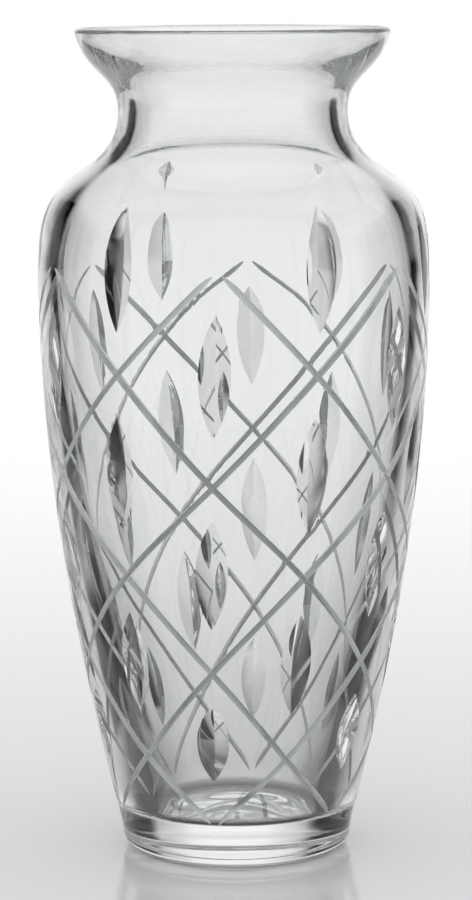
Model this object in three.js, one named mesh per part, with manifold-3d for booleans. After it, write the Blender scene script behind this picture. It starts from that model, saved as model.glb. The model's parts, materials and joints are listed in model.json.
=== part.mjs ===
// A tall glass vase with a cut pattern, blown in one piece: foot, body, shoulder, neck and lip.
// Millimetres, +Z up. The origin is on the table, under the middle of the foot.

import * as THREE from 'three';
import { mergeVertices, toCreasedNormals } from 'three/addons/utils/BufferGeometryUtils.js';
import Module from 'manifold-3d';

// Outline, from the table up. A rise is the height from the point before to this one.
const footRadius = 35.2;
const footEdgeRadius = 4.9;
const bellyRadius = 59.1;
const bellyRise = 169.6;
const shoulderRadius = 47.1;
const shoulderRise = 32.5;
const shoulderSlope = -1.22;
const neckRadius = 34.5;
const neckRise = 18.2;
const rimRadius = 47.35;
const lipRise = 23.6;
const lipSlope = 0.27;

// How much of a rise the curve keeps its direction for, after a point and before the next
const bodyFullness = [0.033, 0.507];
const shoulderFullness = [0.733, 0.221];
const neckFullness = [0.104, 0.697];
const lipFullness = [0.487, 0.569];

// Glass thickness, square to the outer face
const lipWall = 2.4;
const neckWall = 5.2;
const shoulderWall = 6.7;
const shoulderWallDrop = 10;
const bellyWall = 5.5;
const heelWall = 12.6;
const baseThickness = 12.8;
const floorCornerRadius = 3.5;

// The foot stands on a flat ring round a shallow polished dish
const dishRadius = 25;
const dishDepth = 1.5;

// Lattice of matte mitre lines. Crossings lie in rows, with every other row half a diamond round.
const diamondsRound = 6;
const latticeTopAboveBelly = 7.4;
const latticeBottomAboveFootEdge = 8.2;
const rowSteps = [31.4, 32, 28, 28.5, 27.8, 21.1];
const latticeTurn = -4.6;
const latticeLean = -5.9;
const lineDepth = 0.62;
const lineMitre = 98;
const lineRunIn = 7;
const lineEndGap = 1.2;

// Polished lens cuts in the diamonds, a tier beside each row but the last, from the top down
const lensTiers = [
  { length: 37, lift: 0 },
  { length: 36.2, lift: 1 },
  { length: 34.5, lift: 3.3 },
  { length: 33, lift: 2.2 },
  { length: 30.8, lift: 2.6 },
  { length: 24.2, lift: 6.4 },
];
const lensWidth = 9.6;
const lensDepth = 2.9;

// Fineness of the faceted solid
const sidesRound = 48;
const outerSteps = { body: 6, shoulder: 5, neck: 4, lip: 5 };
const innerSteps = { body: 5, shoulder: 4, neck: 2, lip: 3 };
const footEdgeSteps = 3;
const cornerSteps = 2;
const lensSteps = 6;
const lineStep = 13;
const creaseAngle = 25;

const bellyHeight = footEdgeRadius + bellyRise;
const shoulderHeight = bellyHeight + shoulderRise;
const neckHeight = shoulderHeight + neckRise;
const lipHeight = neckHeight + lipRise;
const columnAngle = 180 / diamondsRound;

// Outer outline from the foot's rounded edge to the lip, as four curves that meet smoothly
function outlineCurves() {
  const outline = new THREE.Path();
  outline.moveTo(footRadius, footEdgeRadius);
  outline.bezierCurveTo(
    footRadius, footEdgeRadius + bodyFullness[0] * bellyRise,
    bellyRadius, bellyHeight - bodyFullness[1] * bellyRise,
    bellyRadius, bellyHeight,
  );
  const slopeIn = shoulderFullness[1] * shoulderRise;
  outline.bezierCurveTo(
    bellyRadius, bellyHeight + shoulderFullness[0] * shoulderRise,
    shoulderRadius - shoulderSlope * slopeIn, shoulderHeight - slopeIn,
    shoulderRadius, shoulderHeight,
  );
  const slopeOut = neckFullness[0] * neckRise;
  outline.bezierCurveTo(
    shoulderRadius + shoulderSlope * slopeOut, shoulderHeight + slopeOut,
    neckRadius, neckHeight - neckFullness[1] * neckRise,
    neckRadius, neckHeight,
  );
  const lipIn = lipFullness[1] * lipRise;
  outline.bezierCurveTo(
    neckRadius, neckHeight + lipFullness[0] * lipRise,
    rimRadius - lipSlope * lipIn, lipHeight - lipIn,
    rimRadius, lipHeight,
  );
  return outline.curves;
}

const [bodyCurve, shoulderCurve, neckCurve, lipCurve] = outlineCurves();

// Fine points up the outer face, to find its radius and slope at any height
const outerFace = [bodyCurve, shoulderCurve, neckCurve, lipCurve].flatMap((curve) => curve.getPoints(60));

// Point of the outer face at a height, with the unit normal that points away from the glass
function outerFaceAt(height) {
  let above = outerFace.findIndex((point) => point.y > height);
  if (above < 1) above = above === 0 ? 1 : outerFace.length - 1;
  const low = outerFace[above - 1];
  const high = outerFace[above];
  const rise = high.y - low.y || outerFace[above + 1].y - low.y;
  const radius = low.x + (high.x - low.x) * (height - low.y) / rise;
  const slope = (high.x - low.x) / rise;
  const length = Math.hypot(1, slope);
  return { radius, height, outward: 1 / length, upward: -slope / length };
}

// Glass thickness at a height. It swells and thins smoothly between the places where it is known.
function wallAt(height) {
  const known = [
    [0, heelWall],
    [bellyHeight, bellyWall],
    [shoulderHeight - shoulderWallDrop, shoulderWall],
    [neckHeight, neckWall],
    [lipHeight, lipWall],
  ];
  const above = known.findIndex(([top]) => top >= height);
  if (above < 1) return lipWall;
  const [lowHeight, lowWall] = known[above - 1];
  const [highHeight, highWall] = known[above];
  const share = THREE.MathUtils.smoothstep(height, lowHeight, highHeight);
  return THREE.MathUtils.lerp(lowWall, highWall, share);
}

function innerFacePoint(outerHeight) {
  const face = outerFaceAt(outerHeight);
  const wall = wallAt(outerHeight);
  return new THREE.Vector2(face.radius - face.outward * wall, outerHeight - face.upward * wall);
}

// Inner face, from the lip down to where the wall meets the floor's rounded corner
function innerWallPoints() {
  const points = [];
  const cornerTop = baseThickness + floorCornerRadius;
  const heelEnd = cornerTop + outerFaceAt(cornerTop).upward * wallAt(cornerTop);
  const stretches = [
    [lipHeight, neckHeight, innerSteps.lip],
    [neckHeight, shoulderHeight, innerSteps.neck],
    [shoulderHeight, bellyHeight, innerSteps.shoulder],
    [bellyHeight, heelEnd, innerSteps.body],
  ];
  for (const [from, to, steps] of stretches) {
    for (let step = points.length ? 1 : 0; step <= steps; step += 1) {
      points.push(innerFacePoint(from + (to - from) * step / steps));
    }
  }
  return points;
}

// Whole section of the glass, from the middle of the underside round to the middle of the floor
function sectionPoints() {
  const underside = new THREE.Path();
  underside.moveTo(0, dishDepth);
  underside.quadraticCurveTo(dishRadius / 2, dishDepth, dishRadius, 0);

  const footEdge = new THREE.Path();
  footEdge.absarc(footRadius - footEdgeRadius, footEdgeRadius, footEdgeRadius, -Math.PI / 2, 0);

  const rim = new THREE.Path();
  rim.absarc(rimRadius - lipWall / 2, lipHeight, lipWall / 2, 0, Math.PI);

  const innerWall = innerWallPoints();
  const wallFoot = innerWall[innerWall.length - 1];
  const floorCorner = new THREE.Path();
  floorCorner.moveTo(wallFoot.x, wallFoot.y);
  floorCorner.quadraticCurveTo(wallFoot.x, baseThickness, wallFoot.x - floorCornerRadius, baseThickness);

  return [
    ...underside.getPoints(cornerSteps),
    ...footEdge.getSpacedPoints(footEdgeSteps),
    ...bodyCurve.getPoints(outerSteps.body).slice(1),
    ...shoulderCurve.getPoints(outerSteps.shoulder).slice(1),
    ...neckCurve.getPoints(outerSteps.neck).slice(1),
    ...lipCurve.getPoints(outerSteps.lip).slice(1),
    ...rim.getSpacedPoints(2 * cornerSteps).slice(1, -1),
    ...innerWall,
    ...floorCorner.getPoints(cornerSteps).slice(1),
    new THREE.Vector2(0, baseThickness),
  ];
}

// Blank: the blown vase before it is cut, as a revolve of its section round +Z
function blankGeometry() {
  const blank = new THREE.LatheGeometry(sectionPoints(), sidesRound);
  return blank.rotateX(Math.PI / 2);
}

// Heights of the rows of crossings, spread between the lattice's top and bottom
function rowHeights() {
  const top = bellyHeight + latticeTopAboveBelly;
  const bottom = footEdgeRadius + latticeBottomAboveFootEdge;
  const total = rowSteps.reduce((sum, step) => sum + step, 0);
  const heights = [top];
  let passed = 0;
  for (const step of rowSteps) {
    passed += step;
    heights.push(top - (top - bottom) * passed / total);
  }
  return heights;
}

const rows = rowHeights();

// Angle of a column at a height: the columns lean slowly round the body towards the foot
function columnAngleAt(column, height) {
  const down = (rows[0] - height) / rows[0];
  return latticeTurn + latticeLean * down + columnAngle * column;
}

// Point on the outer face and its outward normal. Angle 0 faces -Y and grows towards +X.
function surfaceAt(angle, height) {
  const face = outerFaceAt(height);
  const turn = THREE.MathUtils.degToRad(angle);
  const outX = Math.sin(turn);
  const outY = -Math.cos(turn);
  return {
    point: new THREE.Vector3(face.radius * outX, face.radius * outY, height),
    normal: new THREE.Vector3(face.outward * outX, face.outward * outY, face.upward),
  };
}

// Wheel path: a V-edged wheel run along the outer face, as a closed three-sided body.
// Each station has its place on the face and the depth there, below zero where the wheel is clear.
function wheelPath(stations, mitre, clearance) {
  const spread = Math.tan(THREE.MathUtils.degToRad(mitre / 2));
  const corners = [];
  stations.forEach((station, index) => {
    const before = stations[Math.max(index - 1, 0)].point;
    const after = stations[Math.min(index + 1, stations.length - 1)].point;
    const along = new THREE.Vector3().subVectors(after, before).normalize();
    const side = new THREE.Vector3().crossVectors(station.normal, along).normalize();
    const height = Math.max(station.depth, 0) + clearance;
    const edge = station.point.clone().addScaledVector(station.normal, -station.depth);
    const top = edge.clone().addScaledVector(station.normal, height);
    corners.push(
      edge,
      top.clone().addScaledVector(side, height * spread),
      top.clone().addScaledVector(side, -height * spread),
    );
  });
  const faces = [0, 2, 1];
  for (let ring = 0; ring + 1 < stations.length; ring += 1) {
    for (let corner = 0; corner < 3; corner += 1) {
      const a = 3 * ring + corner;
      const b = 3 * ring + (corner + 1) % 3;
      faces.push(a, b, a + 3, b, b + 3, a + 3);
    }
  }
  const last = corners.length - 3;
  faces.push(last, last + 1, last + 2);
  const geometry = new THREE.BufferGeometry().setFromPoints(corners);
  geometry.setIndex(faces);
  return geometry;
}

// One lens cut: the wheel dips into the glass along its column and comes out again
function lensCutter(column, row) {
  const { length, lift } = lensTiers[row];
  const middle = rows[row] + lift;
  const fallAway = (lensWidth / 2) ** 2 / (2 * outerFaceAt(middle).radius);
  const mitre = 2 * THREE.MathUtils.radToDeg(Math.atan(lensWidth / 2 / (lensDepth - fallAway)));
  const stations = [];
  for (let step = -1; step <= lensSteps + 1; step += 1) {
    const along = 2 * step / lensSteps - 1;
    const height = middle + along * length / 2;
    const place = surfaceAt(columnAngleAt(column, height), height);
    stations.push({ ...place, depth: lensDepth * (1 - along ** 2) });
  }
  return wheelPath(stations, mitre, 1);
}

// One lattice line, from a crossing in the top row half way round to one in the bottom row
function lineCutter(startColumn, direction) {
  const crossings = rows.map((height, row) => (
    new THREE.Vector2(columnAngleAt(startColumn + direction * row, height), height)
  ));
  const line = new THREE.SplineCurve(crossings);
  const onFace = line.getPoints(200).map(({ x, y }) => surfaceAt(x, y).point);
  const length = onFace.slice(1).reduce((sum, point, index) => sum + point.distanceTo(onFace[index]), 0);
  const cutLength = length - 2 * lineEndGap;
  const middleSteps = Math.round((cutLength - 2 * lineRunIn) / lineStep);
  const distances = [-0.5, 0, lineRunIn / 3];
  for (let step = 0; step <= middleSteps; step += 1) {
    distances.push(lineRunIn + (cutLength - 2 * lineRunIn) * step / middleSteps);
  }
  distances.push(cutLength - lineRunIn / 3, cutLength, cutLength + 0.5);
  const stations = distances.map((distance) => {
    const place = line.getPoint((distance + lineEndGap) / length);
    const fromEnd = Math.min(distance, cutLength - distance) / lineRunIn;
    const depth = fromEnd < 1 ? lineDepth * (1 - (1 - fromEnd) ** 2) : lineDepth;
    return { ...surfaceAt(place.x, place.y), depth };
  });
  return wheelPath(stations, lineMitre, 0.5);
}

const wasm = await Module();
wasm.setup();

// Closed geometry as a solid for cutting. Triangles with no area, such as those at a pole, go.
function solidOf(geometry) {
  geometry.deleteAttribute('normal');
  geometry.deleteAttribute('uv');
  const merged = mergeVertices(geometry, 1e-4);
  const corners = merged.index.array;
  const triangles = [];
  for (let first = 0; first < corners.length; first += 3) {
    const [a, b, c] = corners.slice(first, first + 3);
    if (a !== b && b !== c && c !== a) triangles.push(a, b, c);
  }
  const mesh = new wasm.Mesh({
    numProp: 3,
    vertProperties: new Float32Array(merged.attributes.position.array),
    triVerts: new Uint32Array(triangles),
  });
  return new wasm.Manifold(mesh);
}

function geometryOf(solid) {
  const mesh = solid.getMesh();
  const geometry = new THREE.BufferGeometry();
  geometry.setAttribute('position', new THREE.BufferAttribute(mesh.vertProperties, 3));
  geometry.setIndex(new THREE.BufferAttribute(mesh.triVerts, 1));
  return toCreasedNormals(geometry, THREE.MathUtils.degToRad(creaseAngle));
}

// All cuts of the pattern, over half the columns for each kind and row
function patternCutters() {
  const cutters = [];
  for (let diamond = 0; diamond < diamondsRound; diamond += 1) {
    cutters.push(lineCutter(2 * diamond, 1));
    cutters.push(lineCutter(2 * diamond, -1));
    lensTiers.forEach((tier, row) => {
      cutters.push(lensCutter(2 * diamond + 1 - row % 2, row));
    });
  }
  return cutters;
}

function vaseBodyGeometry() {
  let body = solidOf(blankGeometry());
  for (const cutter of patternCutters()) {
    body = body.subtract(solidOf(cutter));
  }
  return geometryOf(body);
}

const crystal = new THREE.MeshStandardMaterial({
  color: 0xe8eded,
  roughness: 0.04,
  metalness: 0,
  transparent: true,
  opacity: 0.35,
});

const vaseBody = new THREE.Mesh(vaseBodyGeometry(), crystal);
vaseBody.name = 'vase_body';

const vase = new THREE.Group();
vase.add(vaseBody);

export default vase;
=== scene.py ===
"""Looks of a tall blown glass vase with a lattice of matte cut lines and polished lens cuts.

Metres, +Z up. The vase stands on the floor at the origin and is seen from -Y.
"""

import bisect
import json
import math

import bpy
from mathutils import Matrix, Vector
from mathutils.geometry import interpolate_bezier

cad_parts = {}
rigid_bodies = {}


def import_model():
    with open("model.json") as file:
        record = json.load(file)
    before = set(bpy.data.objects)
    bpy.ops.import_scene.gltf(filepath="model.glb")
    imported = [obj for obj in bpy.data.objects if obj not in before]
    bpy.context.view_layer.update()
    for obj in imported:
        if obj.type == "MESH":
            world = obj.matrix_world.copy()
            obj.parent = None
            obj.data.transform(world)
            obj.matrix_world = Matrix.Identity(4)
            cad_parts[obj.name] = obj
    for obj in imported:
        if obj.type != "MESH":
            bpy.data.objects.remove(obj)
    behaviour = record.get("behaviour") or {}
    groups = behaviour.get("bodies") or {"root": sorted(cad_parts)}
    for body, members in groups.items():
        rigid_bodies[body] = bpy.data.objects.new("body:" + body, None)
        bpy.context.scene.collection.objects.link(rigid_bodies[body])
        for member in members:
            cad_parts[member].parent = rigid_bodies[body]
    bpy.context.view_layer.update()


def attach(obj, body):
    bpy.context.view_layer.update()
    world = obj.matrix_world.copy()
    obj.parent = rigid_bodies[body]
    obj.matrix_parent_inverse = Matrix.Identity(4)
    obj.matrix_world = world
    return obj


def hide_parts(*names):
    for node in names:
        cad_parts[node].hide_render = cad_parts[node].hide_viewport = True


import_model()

# Outline of the vase, from the table up
FOOT_RADIUS = 0.0352
FOOT_EDGE_RADIUS = 0.0049
BELLY_RADIUS = 0.0591
BELLY_HEIGHT = 0.1745
SHOULDER_RADIUS = 0.04276
SHOULDER_HEIGHT = 0.20988
SHOULDER_SLOPE = -1.47
NECK_RADIUS = 0.0345
NECK_HEIGHT = 0.2252
RIM_RADIUS = 0.04735
LIP_HEIGHT = 0.2488
LIP_SLOPE = 0.27

# How much of a rise the outline keeps its direction for, after a point and before the next
BODY_FULLNESS = (0.033, 0.507)
SHOULDER_FULLNESS = (0.657, 0.259)
NECK_FULLNESS = (0.05, 0.634)
LIP_FULLNESS = (0.487, 0.569)

# Glass thickness, square to the outer face, and the height that evens out its changes
LIP_WALL = 0.0024
NECK_WALL = 0.0052
SHOULDER_WALL = 0.0069
SHOULDER_WALL_HEIGHT = 0.197
BELLY_WALL = 0.0055
HEEL_WALL = 0.0126
WALL_BLEND = 0.0045
BASE_THICKNESS = 0.0128
FLOOR_CORNER_RADIUS = 0.0035
DISH_RADIUS = 0.025
DISH_DEPTH = 0.0015

# Lattice: rows of crossings from the top down, every other row half a diamond round
DIAMONDS_ROUND = 6
COLUMN_ANGLE = math.radians(30)
ROW_HEIGHTS = (0.1819, 0.1505, 0.1185, 0.0905, 0.0620, 0.0342, 0.0131)
LATTICE_TURN = math.radians(-4.6)
LATTICE_LEAN = math.radians(-5.9)
LINE_DEPTH = 0.00062
LINE_MITRE = math.radians(98)
LINE_RUN_IN = 0.007
LINE_END_GAP = 0.0012

# Lens cuts beside each row but the last: length, and height of the middle above the row
LENS_TIERS = (
    (0.037, 0.0),
    (0.0362, 0.001),
    (0.0345, 0.0033),
    (0.033, 0.0022),
    (0.0308, 0.0026),
    (0.0242, 0.0064),
)
LENS_WIDTH = 0.0096
LENS_DEPTH = 0.0029

# Fineness of the section: points up the outside, from the body to the lip, then steps down the
# inside, from the lip to the heel
BODY_POINTS = 56
SHOULDER_POINTS = 24
NECK_POINTS = 16
LIP_POINTS = 18
INNER_LIP_STEPS = 18
INNER_NECK_STEPS = 14
INNER_SHOULDER_STEPS = 26
INNER_BODY_STEPS = 44
WALL_BLEND_STEPS = 4
DISH_STEPS = 8
FOOT_EDGE_STEPS = 8
RIM_STEPS = 16
FLOOR_CORNER_POINTS = 10
FLOOR_STEPS = 6

# Fineness of the round form, and how near two of its points are to be merged as one
STEPS_ROUND = 192
CREASE_ANGLE = math.radians(17)
BLANK_MERGE = 1e-6
CUTTER_MERGE = 1e-7

# The wheel's paths: steps along a lens, and along a line from one crossing to the next
LENS_STEPS = 28
LINE_STEPS = 24
# Least share of its depth that the wheel keeps at a lens's tips, and the least that a line's
# path starts in from its end
LENS_TIP_DEPTH = 0.002
LINE_TIP = 0.0002
# How far the wheel's open top stands clear of the glass
WHEEL_CLEARANCE = 0.0012

# Crystal: how much it bends light, the waves of blown glass, one every 22 mm or so, and the cut
# lines' grit. The real grit is about 0.1 mm, and is drawn at 0.4 mm to show
CRYSTAL_IOR = 1.545
WAVES_PER_METRE = 45
WAVE_DEPTH = 0.0004
GRIT_SIZE = 0.0004
GRIT_DEPTH = 0.0002

# The photograph's camera: lens and film in millimetres, place and tilt
CAMERA_LENS = 90.195
CAMERA_FILM_HEIGHT = 24
CAMERA_PLACE = (0.00038, -1.02, 0.26986)
CAMERA_PITCH = math.radians(-8.238)
CAMERA_ROLL = math.radians(-0.323)

# What the glass sees round it: turn in degrees from +Y towards +X, and the brightness there.
# Dark panels stand at both sides of the backdrop, and lean in over it on the left
BACKDROP_LEVELS = (
    (-122, 0.8), (-114, 0.95), (-82, 0.95), (-76, 0.0), (-39, 0.0), (-37, 0.06), (-35, 0.34),
    (-33, 0.6), (-27, 0.78), (-21, 0.75), (-15, 0.88), (-9, 1.0), (9, 1.0), (15, 0.95),
    (21, 0.77), (31, 0.76), (34, 0.4), (37, 0.05), (42, 0.0), (50, 0.0), (57, 0.03),
    (84, 0.06), (100, 0.95), (158, 0.95), (166, 0.8),
)
UPPER_LEVELS = (
    (-122, 0.8), (-114, 0.95), (-82, 0.95), (-76, 0.0), (-33, 0.0), (-30.5, 0.05), (-28, 0.22),
    (-26, 0.42), (-21, 0.66), (-15, 0.82), (-9, 0.98), (0, 1.0), (9, 1.0), (15, 0.95),
    (21, 0.71), (27, 0.58), (31, 0.5), (34, 0.2), (36.5, 0.03), (42, 0.0), (50, 0.0),
    (57, 0.03), (84, 0.06), (100, 0.95), (158, 0.95), (166, 0.8),
)
# How much of it the outside of the glass and the table reflect: less of the room's front
REFLECTED_TURNS = ((-84, 0.28), (-76, 1), (76, 1), (84, 0.28))
# Steepness at which the panels start, give way to the upper ones, and end. -1 is straight down,
# 0 level and 1 straight up. Past them the glass sees the room
PANELS_START = (-0.4, -0.35)
UPPER_PANELS_START = (-0.03, 0.05)
PANELS_END = (0.3, 0.45)
ROOM_LEVEL = 0.9

# The table, which fades out into the white from one distance to another, in metres from the
# vase's axis: first as the camera sees it, then as it is seen through the glass
TABLE_RADIUS = 0.9
TABLE_DROP = 0.0001
TABLE_FADE = (0.05, 0.9)
TABLE_FADE_IN_GLASS = (0.4, 0.88)

# How pale the table looks through the glass, from front to back along Y in metres: a painted shadow
# of the vase
TABLE_SPAN = (-0.5, 0.5)
PAINTED_VASE_SHADOW = (
    (-0.5, 0.85), (-0.16, 0.75), (-0.08, 0.3), (-0.05, 0.11), (0.025, 0.12), (0.045, 0.19),
    (0.062, 0.32), (0.08, 0.46), (0.11, 0.57), (0.2, 0.64), (0.3, 0.8), (0.5, 0.88),
)
# How much of that the panels' painted shade leaves, by the turn round the vase
PAINTED_PANEL_SHADE_TURNS = (
    (-96, 1), (-88, 0.0), (-42, 0.0), (-39.5, 0.1), (-37.5, 0.6), (-35, 1), (34, 1),
    (40, 0.75), (45, 0.4), (50, 0.05), (62, 0.0), (84, 0.05), (92, 1),
)
# Where the panels' painted shade on the table starts and ends, in metres from the vase's axis
PANEL_SHADE_START = (0.1, 0.112)
PANEL_SHADE_END = (0.18, 0.26)
# How low a gaze has to be for the panels' painted reflection to show: 0 is straight down, 1 is
# level
PANEL_PAINTED_REFLECTION_GAZE = (0.58, 0.67)

LIGHT_BOUNCES = 32


def deselect_all():
    bpy.ops.object.select_all(action="DESELECT")


def make_active(piece):
    deselect_all()
    piece.select_set(True)
    bpy.context.view_layer.objects.active = piece


def outline_curves():
    """Outer outline from the foot's edge to the lip, as four runs of (radius, height) points."""
    body_rise = BELLY_HEIGHT - FOOT_EDGE_RADIUS
    shoulder_rise = SHOULDER_HEIGHT - BELLY_HEIGHT
    neck_rise = NECK_HEIGHT - SHOULDER_HEIGHT
    lip_rise = LIP_HEIGHT - NECK_HEIGHT
    into_shoulder = SHOULDER_FULLNESS[1] * shoulder_rise
    out_of_shoulder = NECK_FULLNESS[0] * neck_rise
    into_lip = LIP_FULLNESS[1] * lip_rise
    runs = [
        (
            (FOOT_RADIUS, FOOT_EDGE_RADIUS),
            (FOOT_RADIUS, FOOT_EDGE_RADIUS + BODY_FULLNESS[0] * body_rise),
            (BELLY_RADIUS, BELLY_HEIGHT - BODY_FULLNESS[1] * body_rise),
            (BELLY_RADIUS, BELLY_HEIGHT),
            BODY_POINTS,
        ),
        (
            (BELLY_RADIUS, BELLY_HEIGHT),
            (BELLY_RADIUS, BELLY_HEIGHT + SHOULDER_FULLNESS[0] * shoulder_rise),
            (SHOULDER_RADIUS - SHOULDER_SLOPE * into_shoulder, SHOULDER_HEIGHT - into_shoulder),
            (SHOULDER_RADIUS, SHOULDER_HEIGHT),
            SHOULDER_POINTS,
        ),
        (
            (SHOULDER_RADIUS, SHOULDER_HEIGHT),
            (SHOULDER_RADIUS + SHOULDER_SLOPE * out_of_shoulder, SHOULDER_HEIGHT + out_of_shoulder),
            (NECK_RADIUS, NECK_HEIGHT - NECK_FULLNESS[1] * neck_rise),
            (NECK_RADIUS, NECK_HEIGHT),
            NECK_POINTS,
        ),
        (
            (NECK_RADIUS, NECK_HEIGHT),
            (NECK_RADIUS, NECK_HEIGHT + LIP_FULLNESS[0] * lip_rise),
            (RIM_RADIUS - LIP_SLOPE * into_lip, LIP_HEIGHT - into_lip),
            (RIM_RADIUS, LIP_HEIGHT),
            LIP_POINTS,
        ),
    ]
    return [interpolate_bezier(*map(Vector, run[:4]), run[4]) for run in runs]


OUTLINE = outline_curves()
OUTER_FACE = [point for run in OUTLINE for point in run[:-1]] + [OUTLINE[-1][-1]]
OUTER_HEIGHTS = [point.y for point in OUTER_FACE]


def face_at(height):
    """Outer face at a height: its radius, and its unit normal as (outward, upward)."""
    above = min(max(bisect.bisect_right(OUTER_HEIGHTS, height), 1), len(OUTER_FACE) - 1)
    low, high = OUTER_FACE[above - 1], OUTER_FACE[above]
    slope = (high.x - low.x) / (high.y - low.y)
    normal = Vector((1, -slope)).normalized()
    return low.x + slope * (height - low.y), normal


def wall_between(height):
    """Glass thickness, which swells and thins gradually between the places where it is known."""
    heights = (0, BELLY_HEIGHT, SHOULDER_WALL_HEIGHT, NECK_HEIGHT, LIP_HEIGHT)
    walls = (HEEL_WALL, BELLY_WALL, SHOULDER_WALL, NECK_WALL, LIP_WALL)
    above = min(max(bisect.bisect_left(heights, height), 1), len(heights) - 1)
    share = (height - heights[above - 1]) / (heights[above] - heights[above - 1])
    smooth_share = share * share * (3 - 2 * share)
    return walls[above - 1] + (walls[above] - walls[above - 1]) * smooth_share


def wall_at(height):
    """Mean thickness round a height: blown glass has no ring where one run meets the next."""
    reach = min(WALL_BLEND, height, LIP_HEIGHT - height)
    parts = range(-WALL_BLEND_STEPS, WALL_BLEND_STEPS + 1)
    walls = [wall_between(height + reach * part / WALL_BLEND_STEPS) for part in parts]
    return sum(walls) / len(walls)


def inner_point(outer_height):
    """Point of the inner face, square through the glass from a height on the outer face."""
    radius, normal = face_at(outer_height)
    return Vector((radius, outer_height)) - normal * wall_at(outer_height)


def arc(centre, radius, start, end, steps):
    angles = [math.radians(start + (end - start) * step / steps) for step in range(steps + 1)]
    return [Vector(centre) + radius * Vector((math.cos(a), math.sin(a))) for a in angles]


def section_points():
    """Whole section of the glass, from the middle of the underside to the middle of the floor."""
    underside = [
        Vector((DISH_RADIUS * step / DISH_STEPS, DISH_DEPTH * (1 - (step / DISH_STEPS) ** 2)))
        for step in range(DISH_STEPS + 1)
    ]
    foot_edge_centre = (FOOT_RADIUS - FOOT_EDGE_RADIUS, FOOT_EDGE_RADIUS)
    foot_edge = arc(foot_edge_centre, FOOT_EDGE_RADIUS, -90, 0, FOOT_EDGE_STEPS)
    rim = arc((RIM_RADIUS - LIP_WALL / 2, LIP_HEIGHT), LIP_WALL / 2, 0, 180, RIM_STEPS)

    corner_top = BASE_THICKNESS + FLOOR_CORNER_RADIUS
    heel_end = corner_top + face_at(corner_top)[1].y * wall_at(corner_top)
    stretches = (
        (LIP_HEIGHT, NECK_HEIGHT, INNER_LIP_STEPS),
        (NECK_HEIGHT, SHOULDER_HEIGHT, INNER_NECK_STEPS),
        (SHOULDER_HEIGHT, BELLY_HEIGHT, INNER_SHOULDER_STEPS),
        (BELLY_HEIGHT, heel_end, INNER_BODY_STEPS),
    )
    inner_wall = [inner_point(LIP_HEIGHT)]
    for start, end, steps in stretches:
        for step in range(1, steps + 1):
            inner_wall.append(inner_point(start + (end - start) * step / steps))

    wall_foot = inner_wall[-1]
    corner_end = Vector((wall_foot.x - FLOOR_CORNER_RADIUS, BASE_THICKNESS))
    turn = Vector((wall_foot.x, BASE_THICKNESS))
    floor_corner = interpolate_bezier(
        wall_foot,
        wall_foot.lerp(turn, 2 / 3),
        corner_end.lerp(turn, 2 / 3),
        corner_end,
        FLOOR_CORNER_POINTS,
    )
    floor_middle = Vector((0, BASE_THICKNESS))
    floor = [
        corner_end * (1 - step / FLOOR_STEPS) + floor_middle * (step / FLOOR_STEPS)
        for step in range(FLOOR_STEPS + 1)
    ]
    outside = underside + foot_edge + OUTER_FACE[1:] + rim[1:-1]
    return outside + inner_wall + floor_corner[1:] + floor[1:]


def blow_blank():
    """The vase before it is cut: its section, drawn by one corner, and spun round the axis."""
    points = section_points()
    deselect_all()
    bpy.ops.mesh.primitive_plane_add(size=0.01)
    blank = bpy.context.object
    blank.name = "cut_glass_vase"
    bpy.ops.object.mode_set(mode="EDIT")
    bpy.ops.mesh.merge(type="CENTER")
    here = Vector((0, 0))
    for number, point in enumerate(points):
        step = (point.x - here.x, 0, point.y - here.y)
        if number == 0:
            bpy.ops.transform.translate(value=step)
        else:
            bpy.ops.mesh.extrude_region_move(TRANSFORM_OT_translate={"value": step})
        here = point
    bpy.ops.mesh.select_all(action="SELECT")
    bpy.ops.mesh.spin(steps=STEPS_ROUND, angle=2 * math.pi, center=(0, 0, 0), axis=(0, 0, 1))
    bpy.ops.mesh.select_all(action="SELECT")
    bpy.ops.mesh.remove_doubles(threshold=BLANK_MERGE)
    bpy.ops.mesh.normals_make_consistent(inside=False)
    bpy.ops.object.mode_set(mode="OBJECT")
    return blank


def wheel_edge(mitre, depth):
    """Section of the cutting wheel: a V with its tip at the depth and its top above the face."""
    top = (depth + WHEEL_CLEARANCE) * math.tan(mitre / 2)
    section = bpy.data.curves.new("wheel_edge", "CURVE")
    section.dimensions = "2D"
    corners = section.splines.new("POLY")
    corners.points.add(2)
    corners.points[0].co = (0, -depth, 0, 1)
    corners.points[1].co = (top, WHEEL_CLEARANCE, 0, 1)
    corners.points[2].co = (-top, WHEEL_CLEARANCE, 0, 1)
    corners.use_cyclic_u = True
    wheel = bpy.data.objects.new("wheel_edge", section)
    bpy.context.collection.objects.link(wheel)
    return wheel


def sweep_wheel(name, path, depths, wheel):
    """Runs the wheel's section along a path on the face, at a share of its depth at each point."""
    track = bpy.data.curves.new(name, "CURVE")
    track.dimensions = "3D"
    track.twist_mode = "Z_UP"
    track.bevel_mode = "OBJECT"
    track.bevel_object = wheel
    track.use_fill_caps = True
    run = track.splines.new("POLY")
    run.points.add(len(path) - 1)
    for point, place, depth in zip(run.points, path, depths):
        point.co = (*place, 1)
        point.radius = depth
    cutter = bpy.data.objects.new(name, track)
    bpy.context.collection.objects.link(cutter)
    make_active(cutter)
    bpy.ops.object.convert(target="MESH")
    return bpy.context.object


def column_angle(column, height):
    """Angle of a column at a height: columns lean slowly round the body towards the foot."""
    down = (ROW_HEIGHTS[0] - height) / ROW_HEIGHTS[0]
    return LATTICE_TURN + LATTICE_LEAN * down + COLUMN_ANGLE * column


def on_face(angle, height):
    """Point of the outer face. Angle 0 faces -Y and grows towards +X."""
    radius = face_at(height)[0]
    return Vector((radius * math.sin(angle), -radius * math.cos(angle), height))


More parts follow.
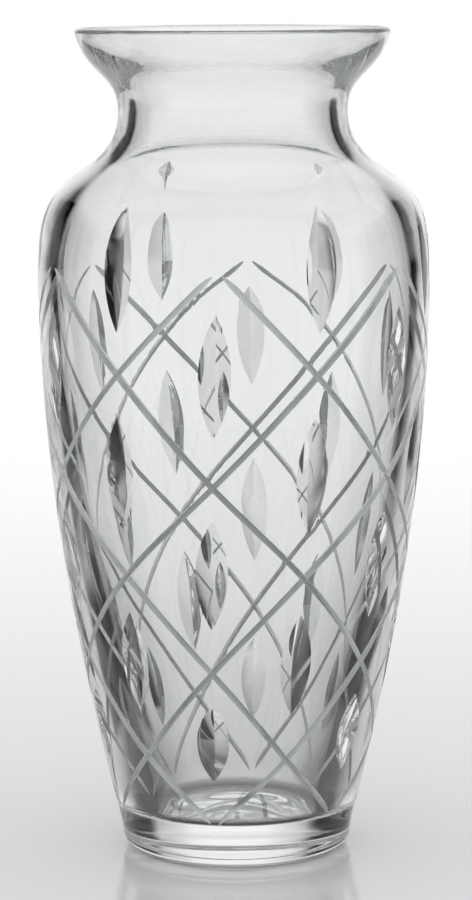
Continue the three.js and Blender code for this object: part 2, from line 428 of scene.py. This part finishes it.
def tidy_cutter(cutter):
    """Closes a swept cutter and turns its faces outwards, so that it cuts cleanly."""
    make_active(cutter)
    bpy.ops.object.mode_set(mode="EDIT")
    bpy.ops.mesh.select_all(action="SELECT")
    bpy.ops.mesh.remove_doubles(threshold=CUTTER_MERGE)
    bpy.ops.mesh.normals_make_consistent(inside=False)
    bpy.ops.object.mode_set(mode="OBJECT")


def repeat_round(cutter):
    """Copies a cutter to every diamond round the body and joins the copies."""
    copies = [cutter]
    for diamond in range(1, DIAMONDS_ROUND):
        make_active(cutter)
        bpy.ops.object.duplicate()
        copy = bpy.context.object
        copy.rotation_euler.z = diamond * 2 * COLUMN_ANGLE
        bpy.ops.object.transform_apply(rotation=True)
        copies.append(copy)
    make_active(cutter)
    for copy in copies:
        copy.select_set(True)
    bpy.ops.object.join()
    return cutter


def lens_cutter(row):
    """One tier of lens cuts: one is swept lying along X, then stood against the body."""
    length, lift = LENS_TIERS[row]
    middle = ROW_HEIGHTS[row] + lift
    middle_radius = face_at(middle)[0]
    # The round face falls away under a lens's sides, so the wheel that gives its width is blunter
    fall_away = (LENS_WIDTH / 2) ** 2 / (2 * middle_radius)
    mitre = 2 * math.atan(LENS_WIDTH / 2 / (LENS_DEPTH - fall_away))
    column = 1 - row % 2
    path, depths = [], []
    for step in range(LENS_STEPS + 1):
        along = 2 * step / LENS_STEPS - 1
        height = middle + along * length / 2
        sideways = column_angle(column, height) - column_angle(column, middle)
        radius = face_at(height)[0]
        path.append((height, radius * math.sin(sideways), radius * math.cos(sideways)))
        depths.append(max(1 - along**2, LENS_TIP_DEPTH))
    cutter = sweep_wheel(f"lens_cutter_{row}", path, depths, wheel_edge(mitre, LENS_DEPTH))
    # Lying, X is up the body, Y goes round it and Z points outwards
    lying_to_standing = Matrix(((0, 1, 0), (0, 0, -1), (1, 0, 0))).to_4x4()
    cutter.matrix_world = Matrix.Rotation(column_angle(column, middle), 4, "Z") @ lying_to_standing
    make_active(cutter)
    bpy.ops.object.transform_apply(rotation=True, scale=True)
    tidy_cutter(cutter)
    return repeat_round(cutter)


def line_cutter(direction):
    """Lattice lines one way: one goes half way round from the top row to the bottom row."""
    crossings = [
        Vector((column_angle(direction * row, height), height))
        for row, height in enumerate(ROW_HEIGHTS)
    ]
    path = [on_face(*place) for place in smooth_through(crossings, LINE_STEPS)]
    travelled = [0.0]
    for before, after in zip(path, path[1:]):
        travelled.append(travelled[-1] + (after - before).length)
    length = travelled[-1]
    kept, depths = [], []
    for place, distance in zip(path, travelled):
        from_end = min(distance, length - distance) - LINE_END_GAP
        if from_end < LINE_TIP:
            continue
        share = min(from_end / LINE_RUN_IN, 1)
        kept.append(place)
        depths.append(1 - (1 - share) ** 2)
    wheel = wheel_edge(LINE_MITRE, LINE_DEPTH)
    cutter = sweep_wheel(f"line_cutter_{direction}", kept, depths, wheel)
    tidy_cutter(cutter)
    return repeat_round(cutter)


def smooth_through(crossings, steps):
    """Points of a smooth curve through the crossings, whose directions follow their neighbours."""
    last = len(crossings) - 1
    points = [crossings[0]]
    for number in range(last):
        start, end = crossings[number], crossings[number + 1]
        before, after = crossings[max(number - 1, 0)], crossings[min(number + 2, last)]
        lead, trail = (end - before) / 6, (after - start) / 6
        points += interpolate_bezier(start, start + lead, end - trail, end, steps + 1)[1:]
    return points


def cut(blank, cutter, material):
    """Takes a cutter's form out of the glass; the faces it leaves take the cut's material."""
    cutter.data.materials.clear()
    cutter.data.materials.append(material)
    make_active(blank)
    modifier = blank.modifiers.new("cut", "BOOLEAN")
    modifier.operation = "DIFFERENCE"
    modifier.solver = "MANIFOLD"
    modifier.material_mode = "TRANSFER"
    modifier.object = cutter
    bpy.ops.object.modifier_apply(modifier="cut")
    bpy.data.objects.remove(cutter)


def linear(colour):
    """A colour written as sRGB hex, as the linear values that a shader takes."""
    channels = [int(colour[place : place + 2], 16) / 255 for place in (1, 3, 5)]
    return (*[c / 12.92 if c <= 0.04045 else ((c + 0.055) / 1.055) ** 2.4 for c in channels], 1)


def add(tree, kind, inputs=None, **settings):
    """Adds a node. Settings are its own, and each input is a value or the socket that feeds it."""
    made = tree.nodes.new(kind)
    for name, value in settings.items():
        setattr(made, name, value)
    for name, value in (inputs or {}).items():
        if isinstance(value, bpy.types.NodeSocket):
            tree.links.new(value, made.inputs[name])
        else:
            made.inputs[name].default_value = value
    return made


def new_material(name):
    material = bpy.data.materials.new(name)
    material.use_nodes = True
    material.node_tree.nodes.clear()
    return material, material.node_tree


def polished_crystal():
    """Lead crystal, blown and acid polished: clear and heavy, bright-edged, faintly wavy."""
    material, tree = new_material("polished_lead_crystal")
    place = add(tree, "ShaderNodeTexCoord").outputs["Object"]
    waves = add(
        tree, "ShaderNodeTexNoise", {"Vector": place, "Scale": WAVES_PER_METRE, "Detail": 1}
    )
    bump = add(
        tree,
        "ShaderNodeBump",
        {"Height": waves.outputs["Fac"], "Strength": 0.1, "Distance": WAVE_DEPTH},
    )
    glass = add(
        tree,
        "ShaderNodeBsdfPrincipled",
        {
            "Base Color": linear("#F7F8F8"),
            "Roughness": 0.0,
            "IOR": CRYSTAL_IOR,
            "Transmission Weight": 1.0,
            "Normal": bump.outputs["Normal"],
        },
    )
    add(tree, "ShaderNodeOutputMaterial", {"Surface": glass.outputs["BSDF"]})
    return material


def matte_cut():
    """Crystal as the stone wheel leaves it: ground, frosted, pale grey."""
    material, tree = new_material("stone_ground_crystal")
    place = add(tree, "ShaderNodeTexCoord").outputs["Object"]
    grit = add(tree, "ShaderNodeTexNoise", {"Vector": place, "Scale": 1 / GRIT_SIZE, "Detail": 2})
    bump = add(
        tree,
        "ShaderNodeBump",
        {"Height": grit.outputs["Fac"], "Strength": 0.3, "Distance": GRIT_DEPTH},
    )
    ground = add(
        tree,
        "ShaderNodeBsdfPrincipled",
        {
            "Base Color": linear("#E4E8E8"),
            "Roughness": 0.38,
            "IOR": CRYSTAL_IOR,
            "Transmission Weight": 0.7,
            "Normal": bump.outputs["Normal"],
        },
    )
    add(tree, "ShaderNodeOutputMaterial", {"Surface": ground.outputs["BSDF"]})
    return material


def levels_along(tree, value, span, stops):
    """Brightness along a value, blended between stops that are given on the value's own scale."""
    low, high = span
    share = add(tree, "ShaderNodeMapRange", {"Value": value, "From Min": low, "From Max": high})
    levels = add(tree, "ShaderNodeValToRGB", {"Fac": share.outputs["Result"]})
    ramp = levels.color_ramp
    while len(ramp.elements) > 1:
        ramp.elements.remove(ramp.elements[-1])
    for number, (at, level) in enumerate(stops):
        position = (at - low) / (high - low)
        element = ramp.elements[0] if number == 0 else ramp.elements.new(position)
        element.position = position
        element.color = (level, level, level, 1)
    return levels.outputs["Color"]


def levels_round(tree, place, stops):
    """Brightness by the turn about +Z, in degrees from +Y towards +X, blended between stops."""
    split = add(tree, "ShaderNodeSeparateXYZ", {"Vector": place})
    turn = add(
        tree, "ShaderNodeMath", {0: split.outputs["X"], 1: split.outputs["Y"]}, operation="ARCTAN2"
    )
    turned_stops = [(math.radians(degrees), level) for degrees, level in stops]
    return levels_along(tree, turn.outputs["Value"], (-math.pi, math.pi), turned_stops)


def table_surface():
    """Pale gloss table top, with painted shadow and panel shade that only the glass sees. It fades
    out where the white backdrop takes over behind it.
    """
    material, tree = new_material("pale_gloss_laminate")
    place = add(tree, "ShaderNodeTexCoord").outputs["Object"]
    distance = add(tree, "ShaderNodeVectorMath", {0: place}, operation="LENGTH").outputs["Value"]
    fade = add(
        tree,
        "ShaderNodeMapRange",
        {"Value": distance, "From Min": TABLE_FADE[0], "From Max": TABLE_FADE[1]},
        interpolation_type="SMOOTHSTEP",
    )
    # Through the glass the table carries a painted shadow of the vase, darkest under it and just in
    # front of it
    depth = add(tree, "ShaderNodeSeparateXYZ", {"Vector": place}).outputs["Y"]
    vase_shadow_paint = levels_along(tree, depth, TABLE_SPAN, PAINTED_VASE_SHADOW)
    panel_shade_paint = levels_round(tree, place, PAINTED_PANEL_SHADE_TURNS)
    under_panels = add(
        tree,
        "ShaderNodeMapRange",
        {"Value": distance, "From Min": PANEL_SHADE_START[0], "From Max": PANEL_SHADE_START[1]},
        interpolation_type="SMOOTHSTEP",
    )
    # Close by, painted shade of the panels covers the table. Farther out only a painted reflection
    # of them shows, and only to a low gaze: seen from above the table is pale there
    close = add(
        tree,
        "ShaderNodeMapRange",
        {
            "Value": distance,
            "From Min": PANEL_SHADE_END[0],
            "From Max": PANEL_SHADE_END[1],
            "To Min": 1,
            "To Max": 0,
        },
        interpolation_type="SMOOTHSTEP",
    )
    gaze = add(tree, "ShaderNodeLayerWeight", {"Blend": 0.5}).outputs["Facing"]
    low = add(
        tree,
        "ShaderNodeMapRange",
        {"Value": gaze, "From Min": PANEL_PAINTED_REFLECTION_GAZE[0], "From Max": PANEL_PAINTED_REFLECTION_GAZE[1]},
        interpolation_type="SMOOTHSTEP",
    )
    close_or_low = add(
        tree,
        "ShaderNodeMath",
        {0: close.outputs["Result"], 1: low.outputs["Result"]},
        operation="MAXIMUM",
    )
    panel_paint_share = add(
        tree,
        "ShaderNodeMath",
        {0: under_panels.outputs["Result"], 1: close_or_low.outputs["Value"]},
        operation="MULTIPLY",
    )
    # Painted shadow of the vase, darkened further by the panels' painted shade and reflection
    shaded = add(
        tree,
        "ShaderNodeMix",
        {0: panel_paint_share.outputs["Value"], "A": vase_shadow_paint, "B": panel_shade_paint},
        data_type="RGBA",
        blend_type="MULTIPLY",
    )
    path = add(tree, "ShaderNodeLightPath")
    seen = add(
        tree,
        "ShaderNodeMix",
        {
            0: path.outputs["Is Transmission Ray"],
            "A": linear("#DADADA"),
            "B": shaded.outputs[2],
        },
        data_type="RGBA",
    )
    top = add(
        tree,
        "ShaderNodeBsdfPrincipled",
        {"Base Color": seen.outputs[2], "Roughness": 0.12, "IOR": 1.5},
    )
    far_fade = add(
        tree,
        "ShaderNodeMapRange",
        {
            "Value": distance,
            "From Min": TABLE_FADE_IN_GLASS[0],
            "From Max": TABLE_FADE_IN_GLASS[1],
        },
        interpolation_type="SMOOTHSTEP",
    )
    faded = add(
        tree,
        "ShaderNodeMix",
        {
            0: path.outputs["Is Transmission Ray"],
            "A": fade.outputs["Result"],
            "B": far_fade.outputs["Result"],
        },
    )
    nothing = add(tree, "ShaderNodeBsdfTransparent")
    mixed = add(
        tree,
        "ShaderNodeMixShader",
        {0: faded.outputs["Result"], 1: top.outputs["BSDF"], 2: nothing.outputs["BSDF"]},
    )
    add(tree, "ShaderNodeOutputMaterial", {"Surface": mixed.outputs["Shader"]})
    return material


def white_surroundings():
    """White all round. Only glass and gloss see the dark panels, which draw the vase's edges."""
    world = bpy.data.worlds.new("white_surroundings")
    bpy.context.scene.world = world
    world.use_nodes = True
    tree = world.node_tree
    tree.nodes.clear()
    towards = add(tree, "ShaderNodeTexCoord").outputs["Generated"]
    height = add(tree, "ShaderNodeSeparateXYZ", {"Vector": towards}).outputs["Z"]
    lower_panels = levels_round(tree, towards, BACKDROP_LEVELS)
    upper_panels = levels_round(tree, towards, UPPER_LEVELS)
    upper = add(
        tree,
        "ShaderNodeMapRange",
        {"Value": height, "From Min": UPPER_PANELS_START[0], "From Max": UPPER_PANELS_START[1]},
        interpolation_type="SMOOTHSTEP",
    )
    panels = add(
        tree,
        "ShaderNodeMix",
        {0: upper.outputs["Result"], "A": lower_panels, "B": upper_panels},
        data_type="RGBA",
    )
    reflected = levels_round(tree, towards, REFLECTED_TURNS)
    reflections = add(
        tree,
        "ShaderNodeMix",
        {0: 1, "A": panels.outputs[2], "B": reflected},
        data_type="RGBA",
        blend_type="MULTIPLY",
    )
    above_start = add(
        tree,
        "ShaderNodeMapRange",
        {"Value": height, "From Min": PANELS_START[0], "From Max": PANELS_START[1]},
        interpolation_type="SMOOTHSTEP",
    )
    below_end = add(
        tree,
        "ShaderNodeMapRange",
        {
            "Value": height,
            "From Min": PANELS_END[0],
            "From Max": PANELS_END[1],
            "To Min": 1,
            "To Max": 0,
        },
        interpolation_type="SMOOTHSTEP",
    )
    at_panels = add(
        tree,
        "ShaderNodeMath",
        {0: above_start.outputs["Result"], 1: below_end.outputs["Result"]},
        operation="MULTIPLY",
    )
    room = (ROOM_LEVEL, ROOM_LEVEL, ROOM_LEVEL, 1)
    glass_sees = add(
        tree,
        "ShaderNodeMix",
        {0: at_panels.outputs["Value"], "A": room, "B": panels.outputs[2]},
        data_type="RGBA",
    )
    # A ray bent sharply by the glass counts as glossy too, so its being bent is asked first
    path = add(tree, "ShaderNodeLightPath")
    bent = path.outputs["Is Transmission Ray"]
    gloss_or_glass = add(
        tree,
        "ShaderNodeMix",
        {0: bent, "A": reflections.outputs[2], "B": glass_sees.outputs[2]},
        data_type="RGBA",
    )
    bent_or_mirrored = add(
        tree, "ShaderNodeMath", {0: path.outputs["Is Glossy Ray"], 1: bent}, operation="MAXIMUM"
    )
    white = add(tree, "ShaderNodeBackground", {"Color": (1, 1, 1, 1), "Strength": 1})
    panelled = add(
        tree, "ShaderNodeBackground", {"Color": gloss_or_glass.outputs[2], "Strength": 1}
    )
    mixed = add(
        tree,
        "ShaderNodeMixShader",
        {
            0: bent_or_mirrored.outputs["Value"],
            1: white.outputs["Background"],
            2: panelled.outputs["Background"],
        },
    )
    add(tree, "ShaderNodeOutputWorld", {"Surface": mixed.outputs["Shader"]})


def place_camera():
    deselect_all()
    bpy.ops.object.camera_add(location=CAMERA_PLACE)
    camera = bpy.context.object
    tilt = Matrix.Rotation(math.radians(90) + CAMERA_PITCH, 3, "X")
    camera.rotation_euler = (tilt @ Matrix.Rotation(CAMERA_ROLL, 3, "Z")).to_euler()
    camera.data.sensor_fit = "VERTICAL"
    camera.data.sensor_height = CAMERA_FILM_HEIGHT
    camera.data.lens = CAMERA_LENS
    bpy.context.scene.camera = camera


def lay_table():
    """Round table top, a hair lower than the foot so that the two faces don't lie in one plane."""
    deselect_all()
    bpy.ops.mesh.primitive_circle_add(vertices=96, radius=TABLE_RADIUS, fill_type="NGON")
    table = bpy.context.object
    table.name = "table_top"
    bpy.ops.object.mode_set(mode="EDIT")
    bpy.ops.transform.translate(value=(0, 0, -TABLE_DROP))
    bpy.ops.object.mode_set(mode="OBJECT")
    table.data.materials.append(table_surface())


place_camera()
lay_table()
white_surroundings()

crystal = polished_crystal()
ground = matte_cut()
vase = blow_blank()
vase.data.materials.append(crystal)
for row in range(len(LENS_TIERS)):
    cut(vase, lens_cutter(row), crystal)
for direction in (1, -1):
    cut(vase, line_cutter(direction), ground)
make_active(vase)
bpy.ops.object.shade_smooth_by_angle(angle=CREASE_ANGLE)
for spare in list(bpy.data.objects):
    if spare.name.startswith("wheel_edge"):
        bpy.data.objects.remove(spare)
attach(vase, "root")
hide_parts("vase_body")

scene = bpy.context.scene
scene.view_settings.view_transform = "Standard"
scene.cycles.max_bounces = LIGHT_BOUNCES
scene.cycles.glossy_bounces = LIGHT_BOUNCES
scene.cycles.transmission_bounces = LIGHT_BOUNCES
